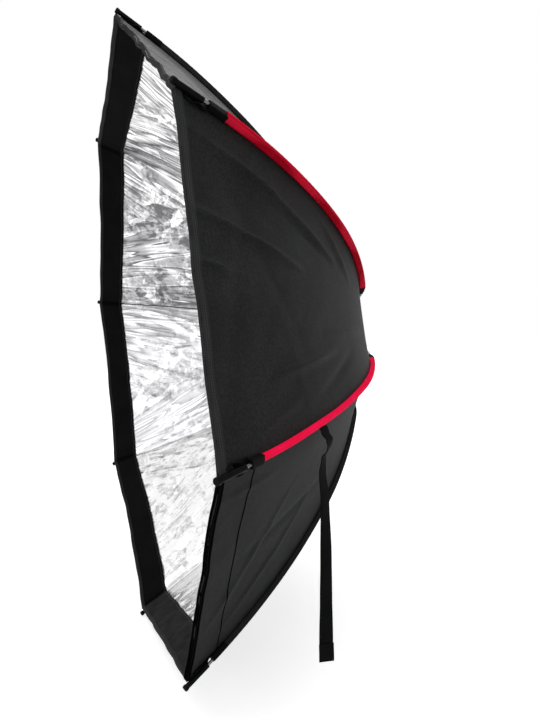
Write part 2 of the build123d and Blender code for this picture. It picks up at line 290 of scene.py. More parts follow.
def clothMaterial(name, p):
    mat, nodes, links, bsdf = newMaterial(name)
    across, along = layAxes(nodes, links)
    place = objectPlace(nodes)
    patchy = noiseNode(nodes, links, place, p["patchScale"], 4)
    colour = rampNode(nodes, links, patchy, ((0.3, p["dark"]), (0.7, p["light"])))
    if "grain" in p:            # uneven dye in the threads
        speck = noiseNode(nodes, links, place, clothFeel["speckScale"], 3)
        speck = spreadNode(nodes, links, speck, 0.34, 0.66, 1 - p["grain"], 1 + p["grain"])
        colour = scaledColour(nodes, links, colour, speck)
    if "fade" in p:             # painted shade, darker towards one side
        shade = spreadNode(nodes, links, across, *p["fade"], 1.0, p["fadeTo"])
        colour = scaledColour(nodes, links, colour, shade)
    if "seamWidth" in p:        # darker along the ribs' seams: the seams' own dark line, and painted shade in the lip's fold there
        toSeam, wide = attributeNode(nodes, "toSeam"), p["seamWidth"]
        shade = spreadNode(nodes, links, toSeam, wide * 0.75, wide, 0.05, 1.0)
        colour = scaledColour(nodes, links, colour, shade)
    weave = weaveHeight(nodes, links, across, along, p["thread"])
    height = mathNode(nodes, links, "MULTIPLY", weave, 0.5)
    stitched = None
    for row in p.get("stitchRows", ()):
        mask = stitchMask(nodes, links, across, along, row)
        stitched = mask if stitched is None else mathNode(nodes, links, "MAXIMUM", stitched, mask)
    if stitched is not None:
        colour = blendColour(nodes, links, stitched, colour, p["threadColour"])
        proud = mathNode(nodes, links, "MULTIPLY", stitched, stitch["height"])
        height = mathNode(nodes, links, "ADD", height, proud)
    links.new(colour, bsdf.inputs["Base Color"])
    bsdf.inputs["Roughness"].default_value = p["rough"]
    bsdf.inputs["Specular IOR Level"].default_value = p["specular"]
    bsdf.inputs["Sheen Weight"].default_value = p.get("sheen", 0.0)
    bsdf.inputs["Sheen Roughness"].default_value = clothFeel["sheenRough"]
    swell = noiseNode(nodes, links, place, clothFeel["softScale"], 3)
    soft = bumpNode(nodes, links, swell, *clothFeel["soft"])
    if "wrinkle" in p:          # fine wrinkles running back from the front edge
        long = nodes.new("ShaderNodeCombineXYZ")
        for slot, (axis, scale) in enumerate((
            (across, clothFeel["wrinkleAcross"]), (along, clothFeel["wrinkleAlong"]),
        )):
            links.new(mathNode(nodes, links, "MULTIPLY", axis, scale), long.inputs[slot])
        lines = noiseNode(nodes, links, long.outputs[0], 1.0, 4, 0.6)
        soft = bumpNode(nodes, links, lines, p["wrinkle"], clothFeel["wrinkleStrength"], soft)
    links.new(bumpNode(nodes, links, height, *clothFeel["weave"], soft), bsdf.inputs["Normal"])
    return mat


def cellNode(nodes, links, source, scale, feature):
    cells = nodes.new("ShaderNodeTexVoronoi")
    cells.feature = feature
    if feature == "SMOOTH_F1":
        cells.inputs["Smoothness"].default_value = 0.25
    cells.inputs["Scale"].default_value = scale
    links.new(source, cells.inputs["Vector"])
    return cells


def silverMaterial(name, p):
    mat, nodes, links, bsdf = newMaterial(name)
    across, along = layAxes(nodes, links)
    place = objectPlace(nodes)

    def add(a, b):
        return mathNode(nodes, links, "ADD", a, b)

    def times(a, b):
        return mathNode(nodes, links, "MULTIPLY", a, b)

    def around(a):
        return mathNode(nodes, links, "SUBTRACT", a, 0.5)

    # folds rake back from the front corners, nearly side by side
    outX, outY = p["rakeFrom"]
    moved = add(across, attributeNode(nodes, "shift"))
    fromMiddle = mathNode(nodes, links, "ABSOLUTE", moved)
    inward = mathNode(nodes, links, "SUBTRACT", p["halfFront"] + outX, fromMiddle)
    deep = add(along, outY)
    turn = mathNode(nodes, links, "ARCTAN2", deep, inward)
    rake = nodes.new("ShaderNodeCombineXYZ")
    links.new(times(turn, p["rake"]), rake.inputs[0])
    links.new(times(add(inward, deep), p["run"]), rake.inputs[1])
    links.new(mathNode(nodes, links, "SIGN", moved), rake.inputs[2])
    strayed = nodes.new("ShaderNodeVectorMath")
    strayed.operation = "MULTIPLY_ADD"
    links.new(place, strayed.inputs[0])
    strayed.inputs[1].default_value = (p["stray"],) * 3
    links.new(rake.outputs[0], strayed.inputs[2])
    swell = noiseNode(nodes, links, strayed.outputs[0], 1.0, p["swellDetail"], 0.42)
    # painted shade on each fold's flank and painted highlight on its crest
    folds = rampNode(nodes, links, swell, [(at, (tone,) * 3) for at, tone in p["foldProfile"]])

    # crumpled foil in painted light and shade: facets in painted tones as each catches the light,
    # painted highlights on their edges, and painted shade in small hollows
    loose = nodes.new("ShaderNodeTexNoise")
    loose.inputs["Scale"].default_value = p["looseScale"]
    loose.inputs["Detail"].default_value = 3
    links.new(place, loose.inputs["Vector"])
    bent = nodes.new("ShaderNodeVectorMath")
    bent.operation = "MULTIPLY_ADD"
    links.new(loose.outputs["Color"], bent.inputs[0])
    bent.inputs[1].default_value = (p["looseBend"],) * 3
    links.new(place, bent.inputs[2])
    bent = bent.outputs[0]
    facets = cellNode(nodes, links, bent, p["facet"], "SMOOTH_F1")
    small = cellNode(nodes, links, bent, p["facet"] * p["smallFacet"], "SMOOTH_F1")
    edges = cellNode(nodes, links, bent, p["facet"], "DISTANCE_TO_EDGE").outputs["Distance"]
    large = times(around(facets.outputs["Color"]), p["facetTone"][0])
    facetTone = add(large, times(around(small.outputs["Color"]), p["facetTone"][1]))
    bright = spreadNode(nodes, links, edges, *p["edgeTone"])
    dentShade = noiseNode(nodes, links, place, p["dent"], 2)
    dentShade = spreadNode(nodes, links, dentShade, *p["dentTone"])
    # dark strokes along the folds: painted shade
    short = nodes.new("ShaderNodeVectorMath")
    short.operation = "MULTIPLY"
    links.new(strayed.outputs[0], short.inputs[0])
    short.inputs[1].default_value = p["strokes"]
    strokes = noiseNode(nodes, links, short.outputs[0], 1.0, 1)
    strokes = spreadNode(nodes, links, strokes, *p["strokeTone"])
    crumple = add(add(add(facetTone, bright), dentShade), strokes)

    # where the foil is crumpled, and where it is drawn into folds
    patches = noiseNode(nodes, links, place, p["patchScale"], 2)
    middle = spreadNode(nodes, links, fromMiddle, *p["middle"], 0.3, 0.0)
    share = add(add(patches, middle), attributeNode(nodes, "crumpled"))
    share = spreadNode(nodes, links, share, *p["crumpledFrom"])
    drawn = mathNode(nodes, links, "MULTIPLY_ADD", share, -0.7, 1.0)
    crushed = mathNode(nodes, links, "MULTIPLY_ADD", share, 0.85, 0.15)
    # the foil is silver all over: its tones from shade through grey to silver are painted shade and
    # painted reflection, each panel's brightness and fold depth are painted light, and the broad
    # patches add painted light and shade
    tone = add(times(around(folds), drawn), times(times(crumple, p["crumple"]), crushed))
    tone = add(times(tone, attributeNode(nodes, "depth")), attributeNode(nodes, "bright"))
    tone = add(tone, times(around(patches), p["patchTone"]))
    foil = rampNode(nodes, links, tone, ((0.0, p["shade"]), (0.5, p["grey"]), (0.92, p["silver"])))

    # a dark line along a rib's seam: partly the seam's own dark line, partly painted shade beside
    # it
    onSeam = mathNode(nodes, links, "LESS_THAN", attributeNode(nodes, "toSeam"), p["seam"])
    onSeam = times(onSeam, attributeNode(nodes, "sewn"))
    colour = blendColour(nodes, links, onSeam, foil, p["seamColour"])
    links.new(colour, bsdf.inputs["Base Color"])
    bsdf.inputs["Metallic"].default_value = p["metallic"]
    bsdf.inputs["Roughness"].default_value = p["rough"]
    height = add(times(swell, 0.9), times(times(facets.outputs["Distance"], 0.4), share))
    first = bumpNode(nodes, links, height, p["relief"], 0.7)
    fine = noiseNode(nodes, links, place, p["fineScale"], 4, 0.65)
    links.new(bumpNode(nodes, links, fine, *p["fineRelief"], first), bsdf.inputs["Normal"])
    return mat


def webbingMaterial(name, p):
    mat, nodes, links, bsdf = newMaterial(name)
    across, along = layAxes(nodes, links)
    place = objectPlace(nodes)
    # cross ribs of the tape, broken into its threads
    ribs = mathNode(nodes, links, "MULTIPLY", along, 2 * pi / p["rib"])
    ribs = mathNode(nodes, links, "SINE", ribs)
    threads = weaveHeight(nodes, links, across, along, p["rib"] / 2)
    height = mathNode(nodes, links, "ADD", ribs, mathNode(nodes, links, "MULTIPLY", threads, 0.5))
    worn = noiseNode(nodes, links, place, 35, 4)
    colour = rampNode(nodes, links, worn, ((0.3, p["dark"]), (0.7, p["light"])))
    if "edge" in p:             # folded edges stand proud and catch more light
        edged = spreadNode(nodes, links, attributeNode(nodes, "toSide"), 0.84, 0.96)
        colour = blendColour(nodes, links, edged, colour, p["edge"])
    links.new(colour, bsdf.inputs["Base Color"])
    bsdf.inputs["Roughness"].default_value = p["rough"]
    bsdf.inputs["Specular IOR Level"].default_value = p["specular"]
    links.new(bumpNode(nodes, links, height, 0.0003, 0.5), bsdf.inputs["Normal"])
    return mat


def hardMaterial(name, p):
    mat, nodes, links, bsdf = newMaterial(name)
    place = objectPlace(nodes)
    marks = noiseNode(nodes, links, place, p["grain"], 4, 0.6)
    links.new(
        rampNode(nodes, links, marks, ((0.3, p["dark"]), (0.7, p["light"]))),
        bsdf.inputs["Base Color"],
    )
    low, high = p["rough"]
    spread = nodes.new("ShaderNodeMapRange")
    spread.inputs["To Min"].default_value = low
    spread.inputs["To Max"].default_value = high
    links.new(noiseNode(nodes, links, place, p["grain"] * 0.4, 2), spread.inputs["Value"])
    links.new(spread.outputs["Result"], bsdf.inputs["Roughness"])
    bsdf.inputs["Metallic"].default_value = p["metallic"]
    bsdf.inputs["Specular IOR Level"].default_value = p.get("specular", 0.5)
    links.new(bumpNode(nodes, links, marks, 0.0002, p["bump"]), bsdf.inputs["Normal"])
    return mat


panelCloth = clothMaterial("blackCanvas", {
    "dark": (0.0050, 0.0052, 0.0051), "light": (0.0100, 0.0104, 0.0102), "patchScale": 14,
    "grain": 0.45, "thread": 0.0007, "rough": 0.58, "specular": 0.075,
})
# the same black canvas made lighter as painted light, for the low panel that the floor lights from
# below; the panels round the back take it too
lowCloth = clothMaterial("lowCanvas", {
    "dark": (0.0072, 0.0075, 0.0074), "light": (0.0132, 0.0138, 0.0135), "patchScale": 11,
    "grain": 0.35, "thread": 0.0007, "rough": 0.66, "specular": 0.06,
})
# the slack top panel's canvas, made much lighter than the others as painted sheen where it is seen
# at a grazing angle; its fade towards rib 1 is painted shade
slackCloth = clothMaterial("slackCanvas", {
    "dark": (0.022, 0.023, 0.024), "light": (0.050, 0.052, 0.053), "patchScale": 24,
    "thread": 0.0007, "rough": 0.42, "specular": 0.3, "sheen": 0.20,
    "fade": (-0.07, 0.16), "fadeTo": 0.13, "wrinkle": 0.0055,
})
rowThread = clothMaterial("rowThread", {
    "dark": (0.0012, 0.0012, 0.0012), "light": (0.0030, 0.0030, 0.0030), "patchScale": 300,
    "thread": 0.0006, "rough": 0.95, "specular": 0.0,
})
# the front edge's binding is one black tape in four tones, lighter or darker by panel as painted
# light and shade, greyHem the lightest on the front panel; their stitch rows' tones differ by panel
# the same way
hemCloth = clothMaterial("blackHem", {
    "dark": (0.0012, 0.0012, 0.0012), "light": (0.0024, 0.0024, 0.0025), "patchScale": 30,
    "thread": 0.0008, "rough": 0.8, "specular": 0.0,
    "stitchRows": (0.0012,), "threadColour": (0.012, 0.012, 0.0125),
})
slackHem = clothMaterial("slackHem", {
    "dark": (0.002, 0.002, 0.002), "light": (0.006, 0.006, 0.0062), "patchScale": 60,
    "thread": 0.0008, "rough": 0.6, "specular": 0.05,
    "stitchRows": (0.0010, 0.0040), "threadColour": (0.10, 0.10, 0.102),
})
rimHem = clothMaterial("rimHem", {
    "dark": (0.007, 0.007, 0.0072), "light": (0.012, 0.012, 0.0124), "patchScale": 30,
    "thread": 0.0008, "rough": 0.66, "specular": 0.08,
    "stitchRows": (0.0012,), "threadColour": (0.05, 0.05, 0.052),
})
greyHem = clothMaterial("greyHem", {
    "dark": (0.013, 0.0134, 0.0134), "light": (0.0205, 0.021, 0.021), "patchScale": 30,
    "thread": 0.0008, "rough": 0.66, "specular": 0.06,
    "stitchRows": (0.0030, 0.0064), "threadColour": (0.034, 0.034, 0.035),
})
lipCloth = clothMaterial("blackLip", {
    "dark": (0.0022, 0.0022, 0.0023), "light": (0.004, 0.004, 0.0041), "patchScale": 22,
    "thread": 0.0008, "rough": 0.9, "specular": 0.05,
    "stitchRows": (0.004, 0.061), "threadColour": (0.026, 0.026, 0.026), "seamWidth": 0.010,
})
# the same black lip made lighter, with lighter stitch rows, as painted light on the bottom panel's
# lip, which faces up to the top lamp
lowLip = clothMaterial("lowLip", {
    "dark": (0.013, 0.013, 0.0134), "light": (0.027, 0.027, 0.0275), "patchScale": 40,
    "thread": 0.0008, "rough": 0.9, "specular": 0.05,
    "stitchRows": (0.004, 0.061), "threadColour": (0.06, 0.06, 0.06), "seamWidth": 0.010,
    "wrinkle": 0.012,
})
silverCloth = silverMaterial("silverLining", {
    "silver": (0.95, 0.95, 0.955), "grey": (0.46, 0.455, 0.465), "shade": (0.13, 0.127, 0.132),
    "metallic": 0.85, "rough": 0.26, "relief": 0.008,
    "halfFront": 0.230, "rakeFrom": (0.20, 0.80), "rake": 34.0, "run": 1.3, "stray": 1.5,
    "swellDetail": 2.0, "middle": (0.01, 0.07),
    # tone across a fold, painted: level ground, then each fold's dark flank as painted shade and
    # its bright crest as painted highlight
    "foldProfile": (
        (0.0, 0.62), (0.30, 0.50), (0.345, 0.16), (0.36, 1.0), (0.40, 0.66),
        (0.455, 0.44), (0.475, 0.12), (0.49, 1.0), (0.53, 0.60), (0.575, 0.36),
        (0.60, 0.05), (0.615, 1.0), (0.67, 0.55), (0.75, 0.70),
    ),
    "facet": 34.0, "smallFacet": 2.7, "facetTone": (1.25, 0.9), "dent": 150.0,
    "strokes": (2.4, 7.0, 2.4), "looseScale": 14, "looseBend": 0.05,
    # from and to of the pattern, and the tone it adds at each
    "edgeTone": (0.0, 0.12, 0.13, 0.0), "dentTone": (0.56, 0.66, 0.0, -0.34),
    "strokeTone": (0.57, 0.63, 0.0, -0.42), "crumple": 0.58, "crumpledFrom": (0.42, 0.62),
    "patchScale": 9.0, "patchTone": 0.25, "fineScale": 190, "fineRelief": (0.0005, 0.25),
    "seam": 0.0020, "seamColour": (0.045, 0.045, 0.047),
})
# one red webbing in two tones: the upper rib's tape made darker as painted shade and the lower
# rib's brighter as painted light; the upper tape's lighter edges are a painted highlight
shadedRed = webbingMaterial("shadedRed", {
    "dark": (0.36, 0.0012, 0.011), "light": (0.54, 0.0024, 0.019), "edge": (0.78, 0.012, 0.045),
    "rib": 0.0014, "rough": 0.75, "specular": 0.04,
})
litRed = webbingMaterial("litRed", {
    "dark": (0.96, 0.004, 0.056), "light": (1.0, 0.008, 0.076), "rib": 0.0014,
    "rough": 0.75, "specular": 0.04,
})
darkWebbing = webbingMaterial("darkWebbing", {
    "dark": (0.010, 0.010, 0.0103), "light": (0.018, 0.018, 0.0184), "rib": 0.0014,
    "rough": 0.7, "specular": 0.08,
})
strapWebbing = webbingMaterial("strapWebbing", {
    "dark": (0.003, 0.003, 0.0031), "light": (0.0055, 0.0055, 0.0056), "rib": 0.0016,
    "rough": 0.8, "specular": 0.03,
})
endWrap = webbingMaterial("endWrap", {
    "dark": (0.0020, 0.0020, 0.0021), "light": (0.0045, 0.0045, 0.0047), "rib": 0.0012,
    "rough": 0.6, "specular": 0.03,
})
tipPlastic = hardMaterial("tipPlastic", {
    "dark": (0.003, 0.003, 0.0032), "light": (0.006, 0.006, 0.0062), "grain": 120,
    "rough": (0.10, 0.18), "metallic": 0.0, "bump": 0.03, "specular": 0.02,
})
hubPaint = hardMaterial("hubPaint", {
    "dark": (0.014, 0.014, 0.015), "light": (0.024, 0.024, 0.026), "grain": 420,
    "rough": (0.38, 0.52), "metallic": 0.0, "bump": 0.35,
})
armMetal = hardMaterial("armMetal", {
    "dark": (0.26, 0.265, 0.275), "light": (0.38, 0.385, 0.395), "grain": 160,
    "rough": (0.28, 0.42), "metallic": 1.0, "bump": 0.08,
})
rodSteel = hardMaterial("rodSteel", {
    "dark": (0.08, 0.08, 0.083), "light": (0.15, 0.15, 0.154), "grain": 260,
    "rough": (0.18, 0.3), "metallic": 1.0, "bump": 0.04,
})
screwZinc = hardMaterial("screwZinc", {
    "dark": (0.58, 0.58, 0.57), "light": (0.7, 0.7, 0.69), "grain": 300,
    "rough": (0.22, 0.34), "metallic": 1.0, "bump": 0.05,
})
springBlue = hardMaterial("springBlue", {
    "dark": (0.16, 0.18, 0.24), "light": (0.26, 0.28, 0.34), "grain": 260,
    "rough": (0.24, 0.36), "metallic": 1.0, "bump": 0.05,
})
print("materials ready")


# carried-over metal and plastic pieces

finishes = {
    "hub_ring": hubPaint, "front_plate": hubPaint, "mount_insert": armMetal,
    "bayonet_collar": armMetal, "bayonet_lugs": armMetal, "insert_screws": screwZinc,
    "cover_screws": screwZinc, "hinge_pins": screwZinc, "detent_springs": springBlue,
    "arm": armMetal, "rod": rodSteel, "tip": tipPlastic,
}


def finishNodes():
    for name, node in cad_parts.items():
        kind = name if name in finishes else name.split("_")[0]
        if kind in finishes:
            node.data.materials.clear()
            node.data.materials.append(finishes[kind])
            for face in node.data.polygons:
                face.material_index = 0


finishNodes()
print("frame finished")


# shapes shared by the soft pieces

def ribTurn(rib):
    return radians(layout["firstRib"] + layout["pitch"] * (rib - 1))


def ribAxes(turn):
    # outwards, across (counter-clockwise from the front) and forwards
    return (
        np.array((cos(turn), 0, sin(turn))),
        np.array((-sin(turn), 0, cos(turn))),
        np.array((0, -1.0, 0)),
    )


def evenLine(points, count=1500):
    # the cloth's line over a rib, cut into even lengths: radius, depth, whole length
    t = np.linspace(0, 1, count)[:, None]
    p = np.array(points)
    line = (1 - t) ** 3 * p[0] + 3 * t * (1 - t) ** 2 * p[1]
    line = line + 3 * t * t * (1 - t) * p[2] + t ** 3 * p[3]
    run = np.concatenate([[0], np.cumsum(np.linalg.norm(np.diff(line, axis=0), axis=1))])
    even, spare = np.linspace(0, run[-1], count), 0.05
    radius, depth = np.interp(even, run, line[:, 0]), np.interp(even, run, line[:, 1])
    # a little straight length to spare past the front edge
    radius = np.append(radius, radius[-1] + (radius[-1] - radius[-2]) * spare * (count - 1))
    depth = np.append(depth, depth[-1] + (depth[-1] - depth[-2]) * spare * (count - 1))
    return radius, depth, np.append(np.linspace(0, 1, count), 1 + spare), run[-1]


lineRadius, lineDepth, lineShare, lineLength = evenLine(layout["clothLine"])
seamRise = 0.0016               # how far the cloth is drawn up to the rods at its seams


def smooth(x, low, high):
    t = np.clip((x - low) / (high - low), 0, 1)
    return t * t * (3 - 2 * t)


def lineSteps(u):
    # change of radius and of depth over a short step along the cloth line
    step = 1e-3
    low, high = np.clip(u - step, 0, lineShare[-1]), np.clip(u + step, 0, lineShare[-1])
    dr = np.interp(high, lineShare, lineRadius) - np.interp(low, lineShare, lineRadius)
    return dr, np.interp(high, lineShare, lineDepth) - np.interp(low, lineShare, lineDepth)


def seamLift(u):
    # radius and depth that the seams gain over the cloth line, square to it
    dr, dd = lineSteps(u)
    rise = seamRise * smooth(u, 0.0, 0.08) / np.hypot(dr, dd)
    return rise * dd, -rise * dr


def onLine(u):
    # radius, depth and outward normal of the cloth line in a panel's middle plane
    r, d = np.interp(u, lineShare, lineRadius), np.interp(u, lineShare, lineDepth)
    dr, dd = lineSteps(u)
    dr = dr * cos(halfTurn)
    size = np.hypot(dr, dd)
    return r, d, dd / size, -dr / size


def foldField(a, b, folds, sharp):
    # sum of folds, each a ridge along a short line in the cloth, tapered at both ends
    total = np.zeros_like(a)
    for a0, b0, a1, b1, height, width in folds:
        da, db = a1 - a0, b1 - b0
        along = np.clip(((a - a0) * da + (b - b0) * db) / (da * da + db * db), 0, 1)
        off = np.hypot(a - a0 - along * da, b - b0 - along * db) / width
        taper = np.sin(pi * np.clip(0.06 + 0.9 * along, 0, 1)) ** (0.7 if sharp else 1.15)
        total += height * taper * (np.exp(-off) if sharp else np.exp(-off * off))
    return total


canopy = {
    "alongCells": 156,
    "acrossCells": 58,
    "halfFront": 0.230,         # each half panel, laid flat
    "halfArea": 0.0940,
    "cloth": 0.0008,
    "sag": 0.007,               # how far a panel's middle draws in between its ribs
    # how far each front edge runs back between its corners
    "scallop": {1: -0.001, 2: 0.006, 3: 0.007, 4: 0.008, 5: 0.001, 6: 0.006, 7: 0.006, 8: 0.009},
    "cornerReach": {1: 0.007, 7: -0.005},
    "edgeBumps": {7: (0.02, 0.14, -0.004)},
    "ripple": 0.0022,
    "flutter": {8: 0.0046},     # how far the slack panel's front edge waves in and out
    "calmFlutter": 0.0009,
    "lipWidth": 0.065,
    "seed": 11,
}


# creases on the two panels that face the camera, in metres:
# from and to (across, back from the edge), height, width
setCreases = {
    7: (
        (0.19, 0.01, 0.07, 0.38, 0.0086, 0.007), (0.085, 0.008, 0.04, 0.245, 0.0084, 0.006),
        (0.02, 0.01, 0.014, 0.07, 0.0066, 0.004), (0.13, 0.18, 0.072, 0.355, -0.0062, 0.007),
        (-0.12, 0.13, -0.075, 0.33, 0.0070, 0.007), (-0.19, 0.07, -0.15, 0.19, 0.0056, 0.007),
        (0.17, 0.06, 0.13, 0.20, 0.0052, 0.006), (0.15, 0.30, 0.05, 0.46, 0.0048, 0.008),
        (-0.05, 0.30, -0.03, 0.50, 0.0030, 0.008), (-0.16, 0.22, -0.07, 0.42, -0.0036, 0.008),
    ),
    6: (
        (0.18, 0.01, 0.145, 0.14, 0.0020, 0.008), (-0.13, 0.02, 0.07, 0.21, 0.0028, 0.010),
        (0.0, 0.08, -0.035, 0.37, -0.0026, 0.011), (-0.17, 0.05, -0.02, 0.30, 0.0026, 0.009),
    ),
}


def outerFolds(panel):
    # long tension folds that fan out of the two front corners, and a few stray ones
    rng = np.random.default_rng(canopy["seed"] + panel)
    folds = list(setCreases.get(panel, ()))
    calm = 0.7 if folds else 1.0
    if panel == 8:              # slack panel on top
        calm = 1.8
    for side in (-1, 1):
        for lean in (18, 34, 51, 67):
            turn = radians(lean + rng.uniform(-6, 6))
            long = rng.uniform(0.22, 0.42)
            start = 0.03 + rng.uniform(0, 0.03)
            a0, b0 = side * (0.222 - start * cos(turn)), 0.01 + start * sin(turn)
            a1, b1 = a0 - side * long * cos(turn), b0 + long * sin(turn)
            height = calm * rng.choice((-1, 1)) * rng.uniform(0.0008, 0.0019)
            folds.append((a0, b0, a1, b1, height, rng.uniform(0.009, 0.02)))
    for _ in range(5):
        a0, b0 = rng.uniform(-0.15, 0.15), rng.uniform(0.08, 0.5)
        turn, long = rng.uniform(0, pi), rng.uniform(0.06, 0.16)
        a1, b1 = a0 + long * cos(turn), b0 + long * sin(turn)
        folds.append((a0, b0, a1, b1, rng.uniform(-0.0008, 0.0008), 0.012))
    return folds


def liningFolds(panel):
    # the foil's own: long ones from the seams, and many short ones anywhere
    rng = np.random.default_rng(canopy["seed"] * 7 + panel)
    long, short = [], []
    for side in (-1, 1):
        for _ in range(15):     # raking back across the panel
            b0 = rng.uniform(0.02, 0.5)
            turn = radians(rng.uniform(42, 80))
            run = rng.uniform(0.1, 0.34)
            a0 = side * (0.23 - 0.26 * b0)
            long.append((a0, b0, a0 - side * run * cos(turn), b0 + run * sin(turn),
                         rng.uniform(-0.0028, 0.0034), rng.uniform(0.004, 0.011)))
    for _ in range(95):
        a0, b0 = rng.uniform(-0.22, 0.22), rng.uniform(0.0, 0.6)
        turn, run = rng.uniform(0, 2 * pi), rng.uniform(0.02, 0.085)
        short.append((a0, b0, a0 + run * cos(turn), b0 + run * sin(turn),
                      rng.uniform(-0.0011, 0.0014), rng.uniform(0.002, 0.0055)))
    return long, short


class Panel:
    # the cloth between a rib and the next: u runs from the hub to the front, v from -1 to 1
    def __init__(self, rib):
        self.rib = rib
        self.middle = ribTurn(rib) + halfTurn
        self.folds = outerFolds(rib)
        self.longFolds, self.shortFolds = liningFolds(rib)
        rng = np.random.default_rng(canopy["seed"] * 3 + rib)
        # waves along the front edge: their number across the panel, size and phase
        self.waves = [
            (n, rng.uniform(-1, 1) / n ** 0.6, rng.uniform(0, 2 * pi)) for n in (3, 5, 8, 12)
        ]
        self.flaps = [
            (n, rng.uniform(0.4, 1) / n ** 0.5, rng.uniform(0, 2 * pi)) for n in (5, 9, 14, 22)
        ]

    def edge(self, v):
        # how far back the front edge lies at v
        bow = canopy["scallop"][self.rib] * (1 - v * v)
        reach = canopy["cornerReach"]
        bow = bow - reach.get(self.rib, 0) * smooth(-v, 0.4, 1)
        bow = bow - reach.get(self.rib % 8 + 1, 0) * smooth(v, 0.4, 1)
        if self.rib in canopy["edgeBumps"]:
            at, wide, size = canopy["edgeBumps"][self.rib]
            bow = bow + size * np.exp(-((v - at) / wide) ** 2)
        wave = sum(size * np.sin(n * pi * (v + 1) / 2 + phase) for n, size, phase in self.waves)
        return bow + canopy["ripple"] * wave * smooth(1 - np.abs(v), 0, 0.12)

    def point(self, u, v, layer):
        # on the "outer" face, on the "lining", or at a height over the cloth's middle
        out, across, forward = ribAxes(self.middle)
        u = u * (1 - self.edge(v) / lineLength)
        r, d, normalOut, normalForward = onLine(u)
        gainOut, gainForward = seamLift(u)
        drawn = smooth(np.abs(v), 0.45, 1)
        r, d = r + gainOut * drawn, d + gainForward * drawn
        wide = r * sin(halfTurn)
        a, b = v * wide, (1 - u) * lineLength
        held = 1 - np.abs(v) ** 5
        lift = -canopy["sag"] * (1 - v * v) * np.sin(pi * np.clip(u, 0, 1)) ** 0.8
        lift = lift + foldField(a, b, self.folds, False) * held
        flap = sum(
            size * np.sin(n * pi * (v + 1) / 2 + phase + 9 * b) for n, size, phase in self.flaps
        )
        flutter = canopy["flutter"].get(self.rib, canopy["calmFlutter"])
        lift = lift + flutter * flap * np.exp(-b / 0.07) * smooth(1 - np.abs(v), 0, 0.16)
        if layer == "outer":
            lift = lift + canopy["cloth"] / 2
        elif layer == "lining":
            folds = foldField(a, b, self.longFolds, True) + foldField(a, b, self.shortFolds, True)
            puff = np.maximum(0.0011 + folds, 0) * (0.15 + 0.85 * held)
            lift = lift - canopy["cloth"] / 2 - puff
        else:
            lift = lift + layer
        mid = r * cos(halfTurn) + lift * normalOut
        depth = d + lift * normalForward + layout["hingeDepth"]
        return np.outer(mid, out) + np.outer(v * wide, across) + np.outer(depth, forward)

    def normal(self, u, v, layer, way):
        # way is 1 for the face that looks outwards and -1 for the inner one
        step = 0.0022
        du = self.point(np.clip(u + step, 0, 1), v, layer)
        du = du - self.point(np.clip(u - step, 0, 1), v, layer)
        dv = self.point(u, np.clip(v + step, -1, 1), layer)
        dv = dv - self.point(u, np.clip(v - step, -1, 1), layer)
        n = np.cross(dv, du)
        n /= np.maximum(np.linalg.norm(n, axis=1), 1e-12)[:, None]
        out = ribAxes(self.middle)[0]
        return n * np.sign((n @ out).mean()) * way


panels = {rib: Panel(rib) for rib in range(1, 9)}


def pickOnly(piece):
    bpy.ops.object.select_all(action="DESELECT")
    piece.select_set(True)
    bpy.context.view_layer.objects.active = piece


def clothGrid(name, cellsAcross, cellsAlong):
    bpy.ops.object.select_all(action="DESELECT")
    bpy.ops.mesh.primitive_grid_add(x_subdivisions=cellsAcross, y_subdivisions=cellsAlong, size=1)
    piece = bpy.context.object
    piece.name = name
    piece.data.name = name
    return piece


def gridShares(piece):
    co = np.array([v.co for v in piece.data.vertices])
    return co[:, 0] + 0.5, co[:, 1] + 0.5


def thicken(piece, thickness, innerMaterial=0):
    solid = piece.modifiers.new("thickness", "SOLIDIFY")
    solid.thickness = thickness
    solid.offset = -1
    solid.material_offset = innerMaterial
    pickOnly(piece)
    bpy.ops.object.modifier_apply(modifier=solid.name)


def layUv(piece, across, along):
    for old in list(piece.data.uv_layers):
        piece.data.uv_layers.remove(old)
    lay = piece.data.uv_layers.new(name="lay")
    corner = np.zeros(len(piece.data.loops), np.int32)
    piece.data.loops.foreach_get("vertex_index", corner)
    both = np.stack([across[corner], along[corner]], 1)
    lay.data.foreach_set("uv", both.astype(np.float32).ravel())


def putPoints(piece, points):
    piece.data.vertices.foreach_set("co", np.asarray(points, np.float32).ravel())
    piece.data.update()


def markPoints(piece, name, values):
    layer = piece.data.attributes.new(name, "FLOAT", "POINT")
    layer.data.foreach_set("value", np.asarray(values, np.float32))


def finishBand(piece, points, material, thick, across, along):
    # a flat band of webbing: its place, finish, thickness and UV
    putPoints(piece, points)
    piece.data.materials.append(material)
    thicken(piece, thick)
    layUv(piece, np.tile(across, 2), np.tile(along, 2))
    pickOnly(piece)
    bpy.ops.object.shade_smooth_by_angle(angle=radians(50))


def halves():
    # each rib has a half panel on either side
    for rib in range(1, 9):
        nextRib = rib % 8 + 1
        yield rib, "left", panels[rib]
        yield nextRib, "right", panels[rib]


# each panel's foil: its painted brightness for the light it gets, how deep its painted folds show,
# how crumpled it is, where its folds part; 0 is for the panels without a row of their own
foilMood = {
    0: (0.74, 0.9, 0.02, 0.0), 1: (0.61, 1.2, -0.20, 0.02), 2: (0.36, 1.2, 0.0, 0.06),
    3: (0.41, 0.60, -0.02, -0.03), 4: (0.90, 0.68, 0.12, 0.05), 5: (1.0, 1.1, 0.0, -0.04),
}
seamShow = {0: 0.25, 3: 1.0}    # how strongly a rib's seam line and the painted shade beside it show inside; 0 is for the others
